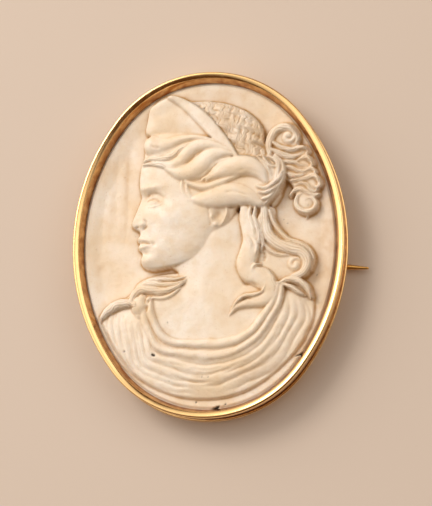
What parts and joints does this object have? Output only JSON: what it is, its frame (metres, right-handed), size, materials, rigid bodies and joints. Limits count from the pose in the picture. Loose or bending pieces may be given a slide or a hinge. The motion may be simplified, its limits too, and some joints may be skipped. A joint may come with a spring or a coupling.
{
  "type": "cameo brooch",
  "caption": "Oval cameo brooch: a carved pale stone with a raised classical bust in a gold setting with a rounded lip, and a hinged pin behind it.",
  "frame": {"origin": "centre of the oval, on the plane of the setting's back rim, which faces the garment", "axes": "+X across the brooch towards the pin's point, +Y along the oval's long axis to the top of the head, +Z out of the face of the cameo"},
  "size_m": [0.0471, 0.056, 0.0081],
  "materials": {
    "gold_setting": "polished yellow gold",
    "carved_stone": "matt carved cream stone with tan patina in the hollows",
    "gold_pin": "drawn yellow gold wire"
  },
  "bodies": {
    "brooch": {"frame": "gold_setting", "cameo": "carved_stone", "hinge_rivet": "gold_pin"},
    "pin": {"pin_stem": "gold_pin"}
  },
  "joints": [
    {"name": "pin_hinge", "type": "hinge", "parent": "brooch", "child": "pin", "pos_m": [-0.01979, -0.00003, -0.001], "axis": [0.0767, 0.9971, 0], "range_deg": [0, 90]}
  ]
}
